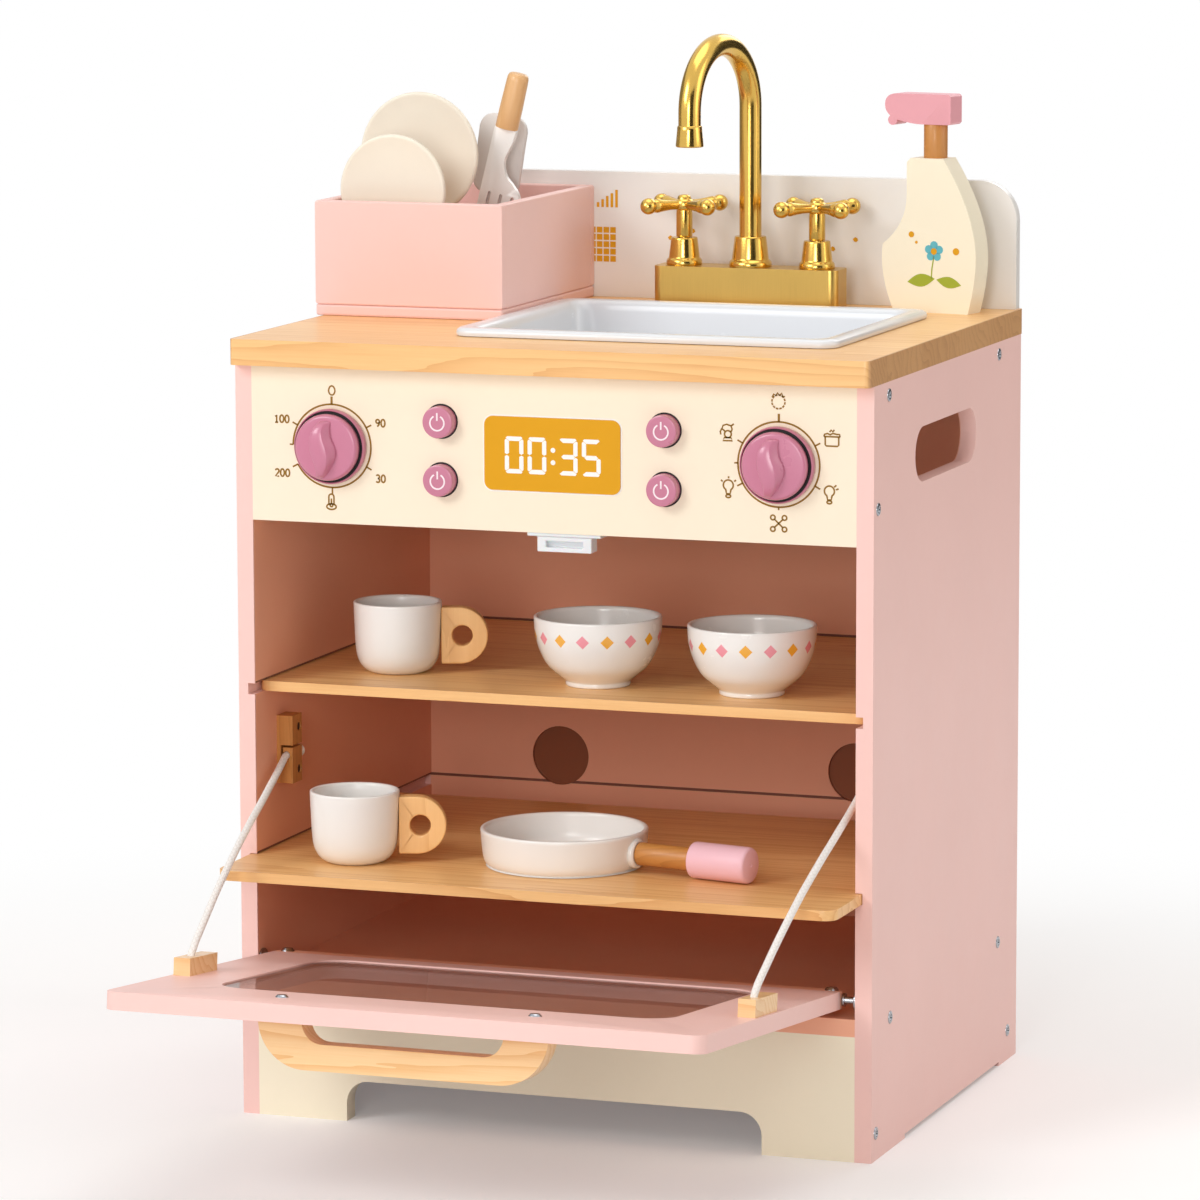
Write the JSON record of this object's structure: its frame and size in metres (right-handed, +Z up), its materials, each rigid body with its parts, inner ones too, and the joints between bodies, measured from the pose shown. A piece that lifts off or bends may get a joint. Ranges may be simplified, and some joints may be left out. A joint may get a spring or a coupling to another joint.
{
  "type": "toy oven",
  "caption": "Toy play kitchen with a drop-down oven door, sliding shelves, sink, swivelling tap, dials, push buttons, storage box and play dishes.",
  "frame": {"origin": "middle of the whole at floor level, with the oven door open as in the picture", "axes": "+Z up, -Y towards the child who plays at it, +X to that child's right"},
  "size_m": [0.4654, 0.648, 0.7445],
  "materials": {
    "pink_board": "satin paint on board",
    "cream_board": "satin paint on board",
    "pine": "clear lacquer",
    "white_board": "satin paint on board",
    "white_plastic": "satin",
    "beech": "oiled",
    "steel": "plated",
    "mustard": "satin",
    "gold": "satin gold coating",
    "black_plastic": "matte",
    "rope": "braided",
    "mauve": "satin paint",
    "pane": "clear sheet"
  },
  "bodies": {
    "cabinet": {"left_side_panel": "pink_board", "right_side_panel": "pink_board", "control_panel": "cream_board", "top_rails": "pine", "back_panel": "pink_board", "floor_panel": "pink_board", "front_plinth": "cream_board", "rear_plinth": "pink_board", "worktop": "pine", "splash_board": "white_board", "sink_basin": "white_plastic", "box_base": "pink_board", "box_boards": "pink_board", "dish_rack": "beech", "side_screws": "steel", "door_catch": "white_plastic", "display_plate": "mustard", "tap_base": "gold", "tap_bonnets": "gold", "wall_rope_blocks": "beech", "hinge_bushes": "white_plastic", "button_guides": "black_plastic", "rope_left": "rope", "rope_right": "rope"},
    "dial_left": {"dial_left": "mauve"},
    "dial_right": {"dial_right": "mauve"},
    "button_upper_left": {"button_upper_left": "mauve"},
    "button_lower_left": {"button_lower_left": "mauve"},
    "button_upper_right": {"button_upper_right": "mauve"},
    "button_lower_right": {"button_lower_right": "mauve"},
    "spout": {"spout_tube": "gold", "spout_tip": "gold"},
    "tap_handle_left": {"tap_handle_left": "gold"},
    "tap_handle_right": {"tap_handle_right": "gold"},
    "door": {"door_panel": "pink_board", "door_window": "pane", "door_handle": "beech", "door_handle_screws": "steel", "door_rope_blocks": "beech", "door_hinge_pins": "steel"},
    "upper_shelf": {"upper_shelf": "pine"},
    "lower_shelf": {"lower_shelf": "pine"},
    "mug_upper": {"mug_upper": "white_plastic", "mug_upper_handle": "beech"},
    "mug_lower": {"mug_lower": "white_plastic", "mug_lower_handle": "beech"},
    "bowl_left": {"bowl_left": "white_plastic"},
    "bowl_right": {"bowl_right": "white_plastic"},
    "pan": {"pan": "white_plastic", "pan_handle": "beech", "pan_grip": "mauve"},
    "plate_large": {"plate_large": "cream_board"},
    "plate_small": {"plate_small": "cream_board"},
    "fork": {"fork": "white_plastic", "fork_handle": "beech"},
    "spatula": {"spatula": "white_plastic"},
    "spray_bottle": {"spray_bottle": "cream_board", "spray_neck": "beech", "spray_head": "mauve"}
  },
  "joints": [
    {"name": "door_hinge", "type": "hinge", "parent": "cabinet", "child": "door", "pos_m": [0, -0.02999, 0.11], "axis": [1, 0, 0], "range_deg": [-84, 0], "deforming": ["rope_left", "rope_right"]},
    {"name": "upper_shelf_slide", "type": "slide", "parent": "cabinet", "child": "upper_shelf", "axis": [0, -1, 0], "range_m": [0, 0.12]},
    {"name": "lower_shelf_slide", "type": "slide", "parent": "cabinet", "child": "lower_shelf", "axis": [0, -1, 0], "range_m": [-0.0765, 0]},
    {"name": "dial_left_turn", "type": "hinge", "parent": "cabinet", "child": "dial_left", "pos_m": [-0.1585, -0.03799, 0.4735], "axis": [0, -1, 0], "range_deg": [-150, 150]},
    {"name": "dial_right_turn", "type": "hinge", "parent": "cabinet", "child": "dial_right", "pos_m": [0.1635, -0.03799, 0.4735], "axis": [0, -1, 0], "range_deg": [-150, 150]},
    {"name": "button_upper_left_press", "type": "slide", "parent": "cabinet", "child": "button_upper_left", "axis": [0, 1, 0], "range_m": [0, 0.004], "stiffness_N_per_m": 300, "springref_m": -0.002},
    {"name": "button_lower_left_press", "type": "slide", "parent": "cabinet", "child": "button_lower_left", "axis": [0, 1, 0], "range_m": [0, 0.004], "stiffness_N_per_m": 300, "springref_m": -0.002},
    {"name": "button_upper_right_press", "type": "slide", "parent": "cabinet", "child": "button_upper_right", "axis": [0, 1, 0], "range_m": [0, 0.004], "stiffness_N_per_m": 300, "springref_m": -0.002},
    {"name": "button_lower_right_press", "type": "slide", "parent": "cabinet", "child": "button_lower_right", "axis": [0, 1, 0], "range_m": [0, 0.004], "stiffness_N_per_m": 300, "springref_m": -0.002},
    {"name": "spout_swivel", "type": "hinge", "parent": "cabinet", "child": "spout", "pos_m": [0.04, 0.27451, 0.575], "axis": [0, 0, 1], "range_deg": [-45, 45]},
    {"name": "tap_handle_left_turn", "type": "hinge", "parent": "cabinet", "child": "tap_handle_left", "pos_m": [-0.0103, 0.27451, 0.575], "axis": [0, 0, 1], "range_deg": [-90, 90]},
    {"name": "tap_handle_right_turn", "type": "hinge", "parent": "cabinet", "child": "tap_handle_right", "pos_m": [0.0903, 0.27451, 0.575], "axis": [0, 0, 1], "range_deg": [-90, 90]},
    {"name": "mug_upper_lift", "type": "slide", "parent": "upper_shelf", "child": "mug_upper", "axis": [0, 0, 1], "range_m": [0, 0.05]},
    {"name": "bowl_left_lift", "type": "slide", "parent": "upper_shelf", "child": "bowl_left", "axis": [0, 0, 1], "range_m": [0, 0.05]},
    {"name": "bowl_right_lift", "type": "slide", "parent": "upper_shelf", "child": "bowl_right", "axis": [0, 0, 1], "range_m": [0, 0.05]},
    {"name": "mug_lower_lift", "type": "slide", "parent": "lower_shelf", "child": "mug_lower", "axis": [0, 0, 1], "range_m": [0, 0.05]},
    {"name": "pan_lift", "type": "slide", "parent": "lower_shelf", "child": "pan", "axis": [0, 0, 1], "range_m": [0, 0.05]},
    {"name": "plate_large_lift", "type": "slide", "parent": "cabinet", "child": "plate_large", "axis": [0, 0, 1], "range_m": [0, 0.05]},
    {"name": "plate_small_lift", "type": "slide", "parent": "cabinet", "child": "plate_small", "axis": [0, 0, 1], "range_m": [0, 0.05]},
    {"name": "fork_lift", "type": "slide", "parent": "cabinet", "child": "fork", "axis": [0, 0, 1], "range_m": [0, 0.05]},
    {"name": "spatula_lift", "type": "slide", "parent": "cabinet", "child": "spatula", "axis": [0, 0, 1], "range_m": [0, 0.05]},
    {"name": "spray_bottle_lift", "type": "slide", "parent": "cabinet", "child": "spray_bottle", "axis": [0, 0, 1], "range_m": [0, 0.05]}
  ],
  "couplings": [
    {"joint": "lower_shelf_slide", "follows": "door_hinge", "m_per_rad": 0.05218}
  ]
}
